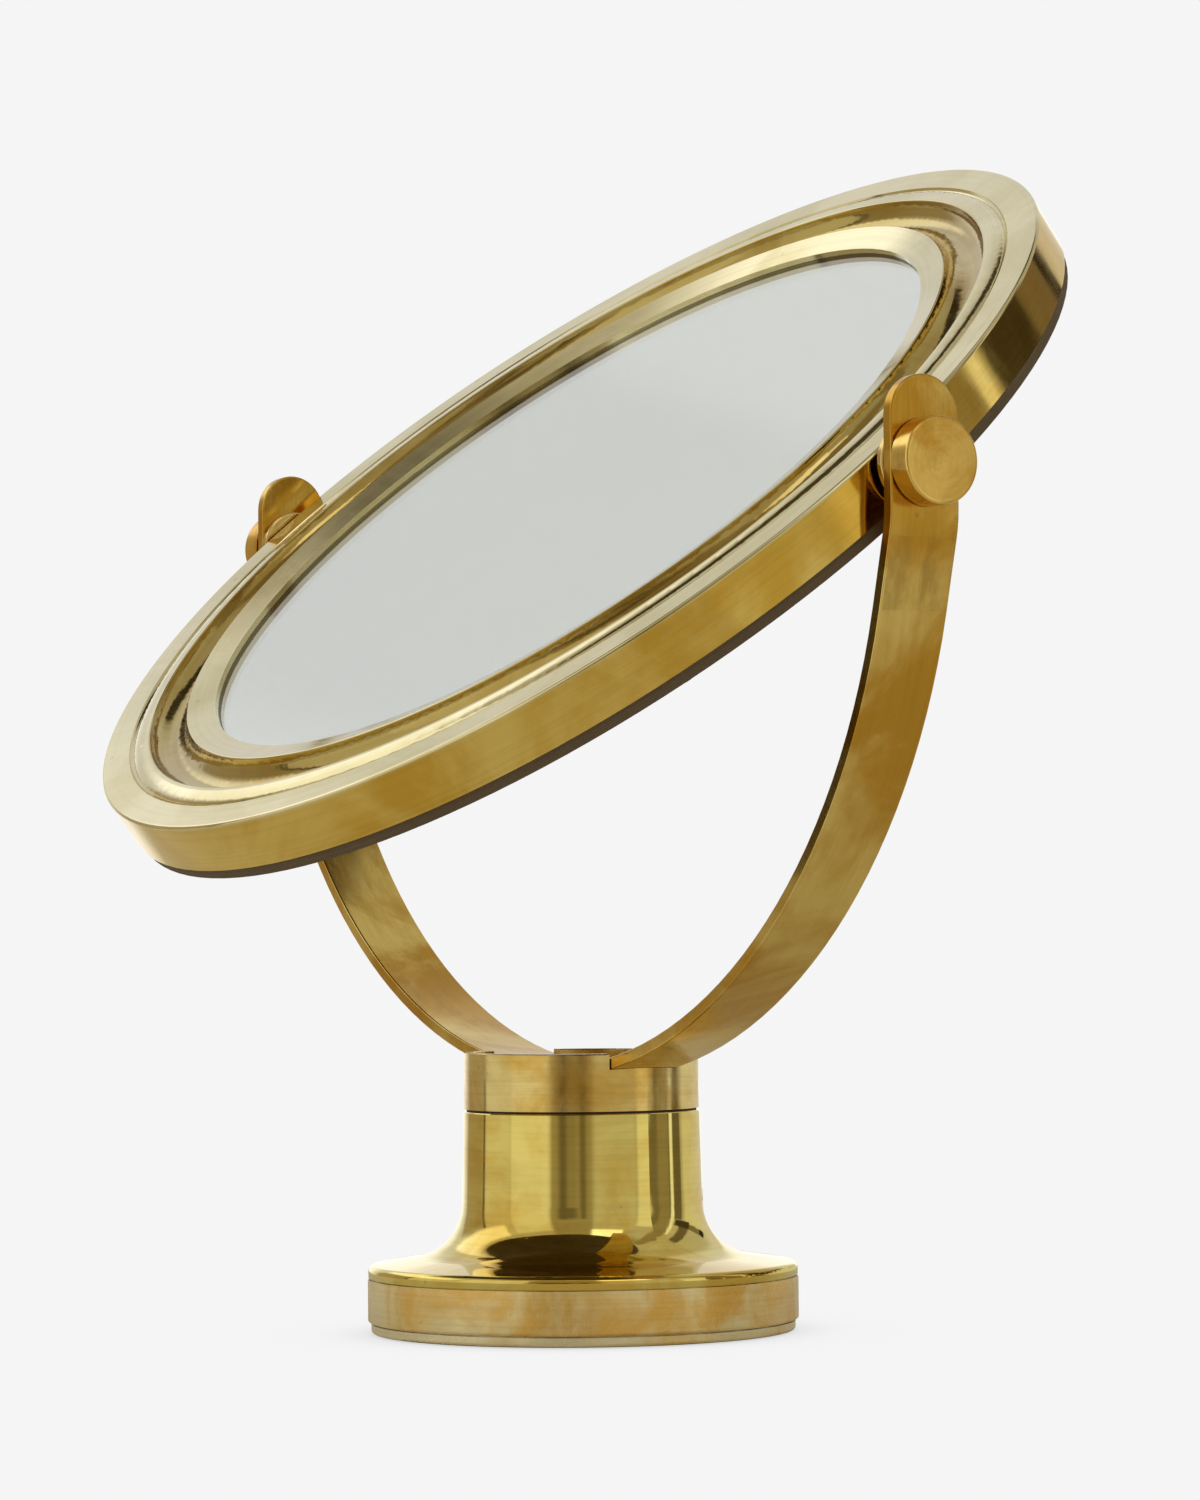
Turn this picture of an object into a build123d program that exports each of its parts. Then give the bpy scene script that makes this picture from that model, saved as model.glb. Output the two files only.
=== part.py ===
from build123d import *
import os
from math import asin, atan2, cos, degrees, hypot, radians, sin, sqrt, tan

# Table mirror: a round glass in a turned brass ring, hung by two clamp knobs in a
# half-round brass yoke that swivels on a heavy turned base.
# Millimetres and degrees, +Z up, tilt axis along X, origin on the table under the base.
# The glass faces -Y and leans back, as it stands in the photograph.

# Overall sizes
mirror_radius = 200.0
rest_tilt = 51.3
pivot_to_front = 11.2

# Clearances shared by many fits
seat_gap = 0.05
running_gap = 0.05
drop_in_gap = 0.3
countersink_angle = 82.0

# Base, from the table up
felt_margin = 6.8
felt_thickness = 1.2
felt_stand = 0.4
foot_inset = 1.2
foot_thickness = 3.9
foot_round = 1.2
foot_rebate_width = 1.6
foot_rebate_depth = 0.5
band_radius = 78.0
band_wall = 5.0
band_height = 15.7
band_round = 1.0
lip_inset = 0.2
lip_thickness = 5.0
lip_round = 2.4
lip_slope = 9.0
lip_rebate_width = 1.0
lip_rebate_depth = 0.5
lip_seat_inset = 5.0
flare_radius = 20.0
neck_radius = 42.9
neck_taper = 0.8
neck_edge = 0.4
column_height = 60.0
column_wall = 4.0
column_web = 8.0
ballast_boss_gap = 6.3
ballast_boss_height = 24.0
base_screw_count = 4
base_screw_inset = 6.0
base_screw_radius = 2.5
base_screw_head_radius = 4.6
base_screw_bite = 4.5

# Swivel between column and collar
spindle_radius = 6.0
spindle_bite = 9.0
spindle_tail = 3.0
bush_wall = 2.0
bush_flange_width = 4.0
bush_flange_thickness = 1.2
swivel_washer_thickness = 0.8
swivel_washer_inset = 1.2
spring_washer_width = 5.0
spring_washer_thickness = 1.0
spring_washer_rise = 0.8
nut_across_flats = 19.0
nut_sides = 6
nut_thickness = 6.0
nut_count = 2

# Collar and yoke
collar_step = 0.2
collar_wall = 3.8
collar_floor = 14.2
collar_edge = 0.5
collar_sweep_gap = 0.45
strip_seat = 10.9
yoke_width = 28.0
yoke_thickness = 4.4
yoke_clearance = 3.9
arm_clearance = 4.9
pivot_drop = 1.8
bend_radius = 35.0
bend_margin = 0.4
yoke_end_rise = 15.3
yoke_edge = 0.6
yoke_slot_side_gap = 0.4
yoke_screw_reach = 22.0
yoke_screw_radius = 2.5
yoke_screw_head_radius = 4.6
yoke_screw_length = 11.0

# Ring section: widths from the outside in, depths back from the front plane
rim_depth = 19.1
rim_edge_round = 1.2
rim_side_wall = 2.4
rim_front_wall = 3.2
flat_width = 12.4
groove_width = 1.4
groove_depth = 1.2
groove_sag = 0.25
bead_width = 6.3
crest_width = 1.3
crest_rise = 0.8
channel_lip_round = 0.6
channel_width = 16.0
channel_depth = 6.5
channel_floor_wall = 2.6
ring_width = 11.0
ring_edge_round = 0.5
aperture_drop = 1.9
aperture_wall = 2.0

# Glass and what backs it
glass_thickness = 4.0
glass_overlap = 5.0
glass_edge = 0.5
pocket_gap = 0.6
cushion_thickness = 1.0
packing_width = 22.0
board_inset = 1.2
board_thickness = 4.5
board_round = 0.4
lug_count = 6
lug_first_angle = 30.0
lug_length = 11.0
lug_width = 12.0
lug_height = 10.0
board_screw_inset = 7.0
board_screw_radius = 1.75
board_screw_head_radius = 3.6
board_screw_head_rise = 1.8
board_screw_head_round = 1.4
board_screw_length = 11.0

# Tilt pivots
boss_length = 13.0
boss_width = 22.0
boss_back_gap = 1.4
stud_radius = 3.0
stud_edge = 0.6
spacer_overhang = 0.6
spacer_flange = 3.0
spacer_hub_radius = 9.0
spacer_round = 0.8
pivot_washer_inset = 0.2
pivot_washer_thickness = 0.5
knob_overhang = 0.8
knob_thickness = 9.0
knob_bore_depth = 7.0
knob_face_round = 1.0
knob_back_edge = 0.4

# Radii of the base, all from the band, the neck and the spindle
foot_radius = band_radius - foot_inset
felt_radius = foot_radius - felt_margin
base_screw_circle = felt_radius - base_screw_inset
lip_radius = band_radius - lip_inset
lip_inner_radius = base_screw_circle - lip_seat_inset
neck_foot_radius = neck_radius + neck_taper
hollow_radius = neck_foot_radius - column_wall
bush_bore = spindle_radius + running_gap
bush_radius = bush_bore + bush_wall
collar_radius = neck_radius - collar_step
cup_radius = collar_radius - collar_wall

# Heights of the base and of the swivel
foot_top = felt_stand + foot_thickness
band_top = foot_top + band_height
lip_shoulder = band_top + lip_thickness
neck_top = band_top + column_height
ballast_top = band_top - drop_in_gap
web_bottom = neck_top - column_web
flange_bottom = web_bottom - bush_flange_thickness
spring_bottom = flange_bottom - spring_washer_thickness - spring_washer_rise
spindle_bottom = spring_bottom - nut_count * nut_thickness - spindle_tail
collar_bottom = neck_top + swivel_washer_thickness
strip_bottom = collar_bottom + strip_seat

# Countersunk heads, from their radii and the countersink's full angle
head_slope = tan(radians(countersink_angle / 2))
base_screw_head_depth = (base_screw_head_radius - base_screw_radius) / head_slope
yoke_screw_head_depth = (yoke_screw_head_radius - yoke_screw_radius) / head_slope

# Yoke: the arc clears the ring all round, and the pivots sit a little below its centre
yoke_arc_radius = mirror_radius + yoke_clearance
yoke_outer_radius = yoke_arc_radius + yoke_thickness
yoke_arc_height = strip_bottom + yoke_outer_radius
pivot_height = yoke_arc_height - pivot_drop
yoke_screw_angle = degrees(asin(yoke_screw_reach / yoke_arc_radius))

# Turned pieces at the pivots, a little larger or smaller than the strip's round end
spacer_radius = yoke_width / 2 + spacer_overhang
pivot_washer_radius = yoke_width / 2 - pivot_washer_inset
knob_radius = yoke_width / 2 + knob_overhang

# Each arm's straight run touches both the arc and the easy bend below the spacer
arm_inside = mirror_radius + arm_clearance
arm_outside = arm_inside + yoke_thickness
bend_top = pivot_height - spacer_radius - bend_margin
bend_centre_x = arm_inside - bend_radius
bend_centre_drop = yoke_arc_height - bend_top
yoke_arc_angle = degrees(
    asin((yoke_arc_radius - bend_radius) / hypot(bend_centre_x, bend_centre_drop))
    - atan2(bend_centre_drop, bend_centre_x)
)

# Collar wall: as high as the ring's swept corner allows
rim_sweep = hypot(mirror_radius, pivot_to_front - rim_edge_round)
collar_top = pivot_height - sqrt((rim_sweep + collar_sweep_gap) ** 2 - cup_radius**2)

# Radii of the ring, from the outside in
side_inner_radius = mirror_radius - rim_side_wall
groove_outer_radius = mirror_radius - flat_width
groove_inner_radius = groove_outer_radius - groove_width
crest_radius = groove_inner_radius - bead_width
channel_outer_radius = crest_radius - crest_width - channel_lip_round
channel_inner_radius = channel_outer_radius - channel_width
aperture_radius = channel_inner_radius - ring_width
glass_radius = aperture_radius + glass_overlap
pocket_radius = glass_radius + pocket_gap
board_radius = mirror_radius - board_inset
board_screw_circle = side_inner_radius - board_screw_inset

# Places measured out of the mirror's own plane
rim_back = pivot_to_front - rim_depth
front_inside = pivot_to_front - rim_front_wall
glass_front = pivot_to_front - aperture_drop - aperture_wall
glass_back = glass_front - glass_thickness
board_back = rim_back - board_thickness
boss_front = front_inside - seat_gap
boss_back = rim_back + boss_back_gap

# Places along the tilt axis
boss_inside = side_inner_radius - boss_length
knob_inside = arm_outside + pivot_washer_thickness

# The mirror's frame: local x along the tilt axis, z out of the glass
facing = (0, -cos(radians(rest_tilt)), sin(radians(rest_tilt)))
uphill = (0, sin(radians(rest_tilt)), cos(radians(rest_tilt)))
downhill = (0, -sin(radians(rest_tilt)), -cos(radians(rest_tilt)))
pivot_point = (0, 0, pivot_height)
mirror_plane = Plane(origin=pivot_point, x_dir=(1, 0, 0), z_dir=facing)
mirror_section = Plane(origin=pivot_point, x_dir=(1, 0, 0), z_dir=downhill)
mirror_axis = Axis(origin=pivot_point, direction=facing)
sides = {"right": 1, "left": -1}


def axis_plane(side, distance):
    """Plane across the tilt axis, z outwards and y out of the glass."""
    across = Vector(uphill) * side
    return Plane(origin=(side * distance, 0, pivot_height), x_dir=across, z_dir=(side, 0, 0))


def yoke_plane(angle, radius):
    """Plane on the yoke's arc, angle from straight down, with z towards the arc's centre."""
    across = (cos(radians(angle)), 0, sin(radians(angle)))
    inward = (-sin(radians(angle)), 0, cos(radians(angle)))
    place = (radius * sin(radians(angle)), 0, yoke_arc_height - radius * cos(radians(angle)))
    return Plane(origin=place, x_dir=across, z_dir=inward)


os.makedirs("parts", exist_ok=True)

# Felt disc glued in the underside of the foot; the mirror rests on it.
with BuildPart() as felt_pad:
    with BuildSketch():
        Circle(felt_radius)
    extrude(amount=felt_thickness)
felt_pad.part.label = "felt_pad"
export_step(felt_pad.part, "parts/felt_pad.step")

# Turned brass foot with a rounded lower edge and a shadow rebate at its top.
with BuildPart() as foot_plate:
    with BuildSketch(Plane.XY.offset(felt_stand)):
        Circle(foot_radius)
    extrude(amount=foot_thickness)
    fillet(foot_plate.edges().sort_by(Axis.Z)[0], foot_round)
    with BuildSketch(Plane.XY.offset(felt_stand)):
        Circle(felt_radius + drop_in_gap)
    extrude(amount=felt_thickness - felt_stand, mode=Mode.SUBTRACT)
    with BuildSketch(Plane.XY.offset(foot_top)):
        Circle(foot_radius)
        Circle(foot_radius - foot_rebate_width, mode=Mode.SUBTRACT)
    extrude(amount=-foot_rebate_depth, mode=Mode.SUBTRACT)
    with Locations(Plane.XY.offset(felt_thickness).rotated((180, 0, 0))):
        with PolarLocations(base_screw_circle, base_screw_count):
            CounterSinkHole(
                base_screw_radius + drop_in_gap,
                base_screw_head_radius + seat_gap,
                counter_sink_angle=countersink_angle,
            )
foot_plate.part.label = "foot_plate"
export_step(foot_plate.part, "parts/foot_plate.step")

# Plain brass band standing on the foot.
with BuildPart() as base_band:
    with BuildSketch(Plane.XY.offset(foot_top)):
        Circle(band_radius)
        Circle(band_radius - band_wall, mode=Mode.SUBTRACT)
    extrude(amount=band_height)
    outer_edges = base_band.edges().filter_by(GeomType.CIRCLE).group_by(SortBy.RADIUS)[-1]
    fillet(outer_edges.sort_by(Axis.Z)[0], band_round)
base_band.part.label = "base_band"
export_step(base_band.part, "parts/base_band.step")

# Cast iron weight inside the band, with a boss up into the hollow column.
with BuildPart() as ballast_weight:
    with BuildSketch(Plane.XY.offset(foot_top)):
        Circle(band_radius - band_wall - drop_in_gap)
    extrude(amount=ballast_top - foot_top)
    with BuildSketch(Plane.XY.offset(ballast_top)):
        Circle(hollow_radius - ballast_boss_gap)
    extrude(amount=ballast_boss_height)
    with BuildSketch(Plane.XY.offset(foot_top)):
        with PolarLocations(base_screw_circle, base_screw_count):
            Circle(base_screw_radius + drop_in_gap)
    extrude(amount=ballast_top - foot_top, mode=Mode.SUBTRACT)
ballast_weight.part.label = "ballast_weight"
export_step(ballast_weight.part, "parts/ballast_weight.step")

# Turned brass column: straight neck, concave flare and rounded lip, hollow below its web.
slope = radians(lip_slope)
lip_start = lip_radius - lip_round
flare_centre_x = neck_foot_radius + flare_radius
slope_run = lip_start - (flare_centre_x - flare_radius * sin(slope))
flare_foot = lip_shoulder + slope_run * tan(slope)
flare_centre = (flare_centre_x, flare_foot + flare_radius * cos(slope))
hollow_flare = flare_radius + column_wall
hollow_flare_angle = degrees(asin((flare_centre_x - lip_inner_radius) / hollow_flare))
with BuildPart() as base_column:
    with BuildSketch(Plane.XZ):
        with BuildLine():
            neck = Line((neck_radius, neck_top), (neck_foot_radius, flare_centre[1]))
            flare = CenterArc(flare_centre, flare_radius, 180, 90 - lip_slope)
            shoulder = Line(flare @ 1, (lip_start, lip_shoulder))
            lip_edge = CenterArc((lip_start, lip_shoulder - lip_round), lip_round, 90, -90)
            lip_side = Line(lip_edge @ 1, (lip_radius, band_top + lip_rebate_depth))
            rebate = Line(lip_side @ 1, (lip_radius - lip_rebate_width, band_top + lip_rebate_depth))
            seat_side = Line(rebate @ 1, (lip_radius - lip_rebate_width, band_top))
            seat = Line(seat_side @ 1, (lip_inner_radius, band_top))
            hollow_arc = CenterArc(flare_centre, hollow_flare, 180, 90 - hollow_flare_angle)
            Line(seat @ 1, hollow_arc @ 1)
            hollow_side = Line(hollow_arc @ 0, (hollow_radius, web_bottom))
            web_face = Line(hollow_side @ 1, (0, web_bottom))
            middle = Line(web_face @ 1, (0, neck_top))
            Line(middle @ 1, neck @ 0)
        make_face()
    revolve(axis=Axis.Z)
    chamfer(base_column.edges().sort_by(Axis.Z)[-1], neck_edge)
    with BuildSketch(Plane.XY.offset(neck_top)):
        Circle(bush_radius + seat_gap)
    extrude(amount=-column_web, mode=Mode.SUBTRACT)
    with BuildSketch(Plane.XY.offset(band_top)):
        with PolarLocations(base_screw_circle, base_screw_count):
            Circle(base_screw_radius + seat_gap)
    extrude(amount=base_screw_bite, mode=Mode.SUBTRACT)
base_column.part.label = "base_column"
export_step(base_column.part, "parts/base_column.step")

# Four countersunk steel screws that hold foot, weight and column together.
with BuildPart() as base_screws:
    with BuildSketch(Plane.XY.offset(felt_thickness + seat_gap)):
        with PolarLocations(base_screw_circle, base_screw_count):
            Circle(base_screw_head_radius)
    extrude(amount=base_screw_head_depth, taper=countersink_angle / 2)
    with BuildSketch(Plane.XY.offset(felt_thickness + seat_gap)):
        with PolarLocations(base_screw_circle, base_screw_count):
            Circle(base_screw_radius)
    extrude(amount=band_top + base_screw_bite - drop_in_gap - felt_thickness)
base_screws.part.label = "base_screws"
export_step(base_screws.part, "parts/base_screws.step")

# Flanged bronze bush pressed up into the column's web.
with BuildPart() as swivel_bush:
    with BuildSketch(Plane.XY.offset(flange_bottom)):
        Circle(bush_radius + bush_flange_width)
    extrude(amount=bush_flange_thickness)
    with BuildSketch(Plane.XY.offset(web_bottom)):
        Circle(bush_radius)
    extrude(amount=column_web)
    with BuildSketch(Plane.XY.offset(flange_bottom)):
        Circle(bush_bore)
    extrude(amount=bush_flange_thickness + column_web, mode=Mode.SUBTRACT)
swivel_bush.part.label = "swivel_bush"
export_step(swivel_bush.part, "parts/swivel_bush.step")

# Thin dark fibre washer that shows as the line between column and collar.
with BuildPart() as swivel_washer:
    with BuildSketch(Plane.XY.offset(neck_top)):
        Circle(neck_radius - swivel_washer_inset)
        Circle(bush_radius, mode=Mode.SUBTRACT)
    extrude(amount=swivel_washer_thickness)
swivel_washer.part.label = "swivel_washer"
export_step(swivel_washer.part, "parts/swivel_washer.step")

# Steel spindle screwed up into the collar and hanging through the bush.
with BuildPart() as swivel_spindle:
    with BuildSketch(Plane.XY.offset(spindle_bottom)):
        Circle(spindle_radius)
    extrude(amount=collar_bottom + spindle_bite - spindle_bottom)
    chamfer(swivel_spindle.edges().group_by(Axis.Z)[0], stud_edge)
swivel_spindle.part.label = "swivel_spindle"
export_step(swivel_spindle.part, "parts/swivel_spindle.step")

# Dished spring washer that keeps the swivel firm.
spring_bore = spindle_radius + seat_gap
spring_radius = spindle_radius + spring_washer_width
spring_top = spring_bottom + spring_washer_rise
with BuildPart() as spring_washer:
    with BuildSketch(Plane.XZ):
        with BuildLine():
            Polyline(
                (spring_bore, spring_bottom),
                (spring_radius, spring_top),
                (spring_radius, spring_top + spring_washer_thickness),
                (spring_bore, spring_bottom + spring_washer_thickness),
                close=True,
            )
        make_face()
    revolve(axis=Axis.Z)
spring_washer.part.label = "spring_washer"
export_step(spring_washer.part, "parts/spring_washer.step")

# A nut and a lock nut on the spindle's tail.
with BuildPart() as spindle_nuts:
    for step in range(nut_count):
        with BuildSketch(Plane.XY.offset(spring_bottom - nut_thickness * (step + 1))):
            RegularPolygon(nut_across_flats / 2, nut_sides, major_radius=False)
            Circle(spindle_radius + seat_gap, mode=Mode.SUBTRACT)
        extrude(amount=nut_thickness - seat_gap)
spindle_nuts.part.label = "spindle_nuts"
export_step(spindle_nuts.part, "parts/spindle_nuts.step")

# Turned brass collar: a shallow cup whose wall is slotted to bed the yoke strip.
with BuildPart() as swivel_collar:
    with BuildSketch(Plane.XY.offset(collar_bottom)):
        Circle(collar_radius)
    extrude(amount=collar_top - collar_bottom)
    with BuildSketch(Plane.XY.offset(collar_bottom + collar_floor)):
        Circle(cup_radius)
    extrude(amount=collar_top - collar_bottom, mode=Mode.SUBTRACT)
    top_edges = swivel_collar.edges().group_by(Axis.Z)[-1]
    fillet(top_edges, collar_edge)
    with BuildSketch(Plane.XZ):
        with Locations((0, yoke_arc_height)):
            Circle(yoke_outer_radius + seat_gap)
    extrude(amount=yoke_width / 2 + yoke_slot_side_gap, both=True, mode=Mode.SUBTRACT)
    with BuildSketch(Plane.XY.offset(collar_bottom)):
        Circle(spindle_radius + seat_gap)
    extrude(amount=spindle_bite + drop_in_gap, mode=Mode.SUBTRACT)
    for angle in (-yoke_screw_angle, yoke_screw_angle):
        with BuildSketch(yoke_plane(angle, yoke_arc_radius)):
            Circle(yoke_screw_radius + seat_gap)
        extrude(amount=-yoke_screw_length - drop_in_gap, mode=Mode.SUBTRACT)
swivel_collar.part.label = "swivel_collar"
export_step(swivel_collar.part, "parts/swivel_collar.step")

# Half-round brass strip with round ends, bent up from one flat bar.
def arm_curve(arc_radius, bend):
    """One face of the right arm: arc, straight run, easy bend and upright end."""
    bend_centre = (bend_centre_x, bend_top)
    arc = CenterArc((0, yoke_arc_height), arc_radius, -90, yoke_arc_angle)
    turn = CenterArc(bend_centre, bend, yoke_arc_angle - 90, 90 - yoke_arc_angle)
    Line(arc @ 1, turn @ 0)
    return Line(turn @ 1, (bend_centre_x + bend, pivot_height + yoke_end_rise + yoke_width / 2))


with BuildPart() as yoke_strip:
    with BuildSketch(Plane.XZ):
        with BuildLine():
            inner_end = arm_curve(yoke_arc_radius, bend_radius)
            outer_end = arm_curve(yoke_outer_radius, bend_radius + yoke_thickness)
            Line(inner_end @ 1, outer_end @ 1)
            Line((0, yoke_arc_height - yoke_arc_radius), (0, yoke_arc_height - yoke_outer_radius))
        make_face()
        mirror(about=Plane.YZ)
    extrude(amount=yoke_width / 2, both=True)
    with BuildSketch(Plane.YZ):
        with Locations((0, pivot_height + yoke_end_rise)):
            Circle(yoke_width / 2)
            Rectangle(yoke_width, pivot_height + yoke_end_rise, align=(Align.CENTER, Align.MAX))
    extrude(amount=arm_outside, both=True, mode=Mode.INTERSECT)
    fillet(yoke_strip.edges().filter_by(Axis.Y, reverse=True), yoke_edge)
    with BuildSketch(Plane.YZ):
        with Locations((0, pivot_height)):
            Circle(stud_radius + running_gap)
    extrude(amount=arm_outside, both=True, mode=Mode.SUBTRACT)
    for angle in (-yoke_screw_angle, yoke_screw_angle):
        with Locations(yoke_plane(angle, yoke_arc_radius)):
            CounterSinkHole(
                yoke_screw_radius + seat_gap,
                yoke_screw_head_radius + seat_gap,
                yoke_thickness * 2,
                counter_sink_angle=countersink_angle,
            )
yoke_strip.part.label = "yoke_strip"
export_step(yoke_strip.part, "parts/yoke_strip.step")

# Two countersunk screws that hold the strip down in the collar.
with BuildPart() as yoke_screws:
    for angle in (-yoke_screw_angle, yoke_screw_angle):
        with BuildSketch(yoke_plane(angle, yoke_arc_radius - seat_gap)):
            Circle(yoke_screw_radius)
        extrude(amount=-yoke_screw_length)
        with BuildSketch(yoke_plane(angle, yoke_arc_radius + seat_gap)):
            Circle(yoke_screw_head_radius)
        extrude(amount=-yoke_screw_head_depth, taper=countersink_angle / 2)
yoke_screws.part.label = "yoke_screws"
export_step(yoke_screws.part, "parts/yoke_screws.step")

# Cast and turned brass ring: side wall, flat, bead, deep channel and coned inner ring.
lip_height_front = pivot_to_front + crest_rise - channel_lip_round
channel_middle = (channel_outer_radius + channel_inner_radius) / 2
channel_half = channel_width / 2
channel_wall_rise = channel_depth + crest_rise - channel_lip_round
under_half = channel_half + channel_floor_wall
under_depth = channel_wall_rise + channel_floor_wall
under_angle = degrees(asin((lip_height_front - front_inside) / under_depth))
land_height = lip_height_front - under_depth
with BuildPart() as mirror_rim:
    with BuildSketch(mirror_section):
        with BuildLine():
            side = Line((mirror_radius, rim_back), (mirror_radius, pivot_to_front - rim_edge_round))
            corner = CenterArc(
                (mirror_radius - rim_edge_round, pivot_to_front - rim_edge_round), rim_edge_round, 0, 90
            )
            flat = Line(corner @ 1, (groove_outer_radius, pivot_to_front))
            groove = SagittaArc(flat @ 1, (groove_inner_radius, pivot_to_front - groove_depth), groove_sag)
            bead = EllipticalCenterArc(
                (crest_radius, pivot_to_front - groove_depth),
                bead_width,
                groove_depth + crest_rise,
                arc_size=90,
            )
            crest = Line(bead @ 1, (channel_outer_radius + channel_lip_round, pivot_to_front + crest_rise))
            channel_lip = CenterArc(
                (channel_outer_radius + channel_lip_round, lip_height_front), channel_lip_round, 90, 90
            )
            channel = EllipticalCenterArc(
                (channel_middle, lip_height_front), channel_half, channel_wall_rise, arc_size=-180
            )
            ring_edge = CenterArc(
                (channel_inner_radius - ring_edge_round, lip_height_front), ring_edge_round, 0, 90
            )
            cone = Line(ring_edge @ 1, (aperture_radius, pivot_to_front - aperture_drop))
            lip = Line(cone @ 1, (aperture_radius, glass_front))
            pocket_seat = Line(lip @ 1, (pocket_radius, glass_front))
            pocket_side = Line(pocket_seat @ 1, (pocket_radius, land_height))
            land = Line(pocket_side @ 1, (channel_middle, land_height))
            underside = EllipticalCenterArc(
                (channel_middle, lip_height_front),
                under_half,
                under_depth,
                start_angle=-90,
                arc_size=90 - under_angle,
            )
            inside = Line(underside @ 1, (side_inner_radius, front_inside))
            inner_side = Line(inside @ 1, (side_inner_radius, rim_back))
            Line(inner_side @ 1, side @ 0)
        make_face()
    revolve(axis=mirror_axis)
    for side in sides.values():
        with BuildSketch(axis_plane(side, boss_inside)):
            Circle(stud_radius + seat_gap)
        extrude(amount=mirror_radius - boss_inside, mode=Mode.SUBTRACT)
mirror_rim.part.label = "mirror_rim"
export_step(mirror_rim.part, "parts/mirror_rim.step")

# Silvered glass dropped into the ring from behind.
with BuildPart() as mirror_glass:
    with BuildSketch(mirror_plane.offset(glass_back)):
        Circle(glass_radius)
    extrude(amount=glass_thickness)
    chamfer(mirror_glass.edges(), glass_edge)
mirror_glass.part.label = "mirror_glass"
export_step(mirror_glass.part, "parts/mirror_glass.step")

# Soft sheet behind the glass, so that nothing hard bears on the silvering.
with BuildPart() as cushion_sheet:
    with BuildSketch(mirror_plane.offset(glass_back - cushion_thickness)):
        Circle(glass_radius)
    extrude(amount=cushion_thickness)
cushion_sheet.part.label = "cushion_sheet"
export_step(cushion_sheet.part, "parts/cushion_sheet.step")

# Wooden hoop that passes the back board's pressure to the glass.
with BuildPart() as packing_ring:
    with BuildSketch(mirror_plane.offset(rim_back)):
        Circle(glass_radius)
        Circle(glass_radius - packing_width, mode=Mode.SUBTRACT)
    extrude(amount=glass_back - cushion_thickness - rim_back)
packing_ring.part.label = "packing_ring"
export_step(packing_ring.part, "parts/packing_ring.step")

# Dark hardboard disc that closes the back and shows its edge behind the brass.
with BuildPart() as back_board:
    with BuildSketch(mirror_plane.offset(board_back)):
        Circle(board_radius)
    extrude(amount=board_thickness)
    fillet(back_board.edges(), board_round)
    with BuildSketch(mirror_plane.offset(board_back)):
        with PolarLocations(board_screw_circle, lug_count, start_angle=lug_first_angle):
            Circle(board_screw_radius + drop_in_gap)
    extrude(amount=board_thickness, mode=Mode.SUBTRACT)
back_board.part.label = "back_board"
export_step(back_board.part, "parts/back_board.step")

# Six small brass lugs soldered inside the side wall for the board's screws.
lug_middle = side_inner_radius - lug_length / 2
with BuildPart() as board_lugs:
    with BuildSketch(mirror_plane.offset(rim_back)):
        with PolarLocations(lug_middle, lug_count, start_angle=lug_first_angle):
            Rectangle(lug_length, lug_width)
        Circle(side_inner_radius - seat_gap, mode=Mode.INTERSECT)
        with PolarLocations(board_screw_circle, lug_count, start_angle=lug_first_angle):
            Circle(board_screw_radius + seat_gap, mode=Mode.SUBTRACT)
    extrude(amount=lug_height)
board_lugs.part.label = "board_lugs"
export_step(board_lugs.part, "parts/board_lugs.step")

# Round-headed screws through the board into the lugs.
with BuildPart() as board_screws:
    with BuildSketch(mirror_plane.offset(board_back - seat_gap)):
        with PolarLocations(board_screw_circle, lug_count, start_angle=lug_first_angle):
            Circle(board_screw_head_radius)
    extrude(amount=-board_screw_head_rise)
    fillet(board_screws.edges().group_by(mirror_axis)[0], board_screw_head_round)
    with BuildSketch(mirror_plane.offset(board_back - seat_gap)):
        with PolarLocations(board_screw_circle, lug_count, start_angle=lug_first_angle):
            Circle(board_screw_radius)
    extrude(amount=board_screw_length)
board_screws.part.label = "board_screws"
export_step(board_screws.part, "parts/board_screws.step")

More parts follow.
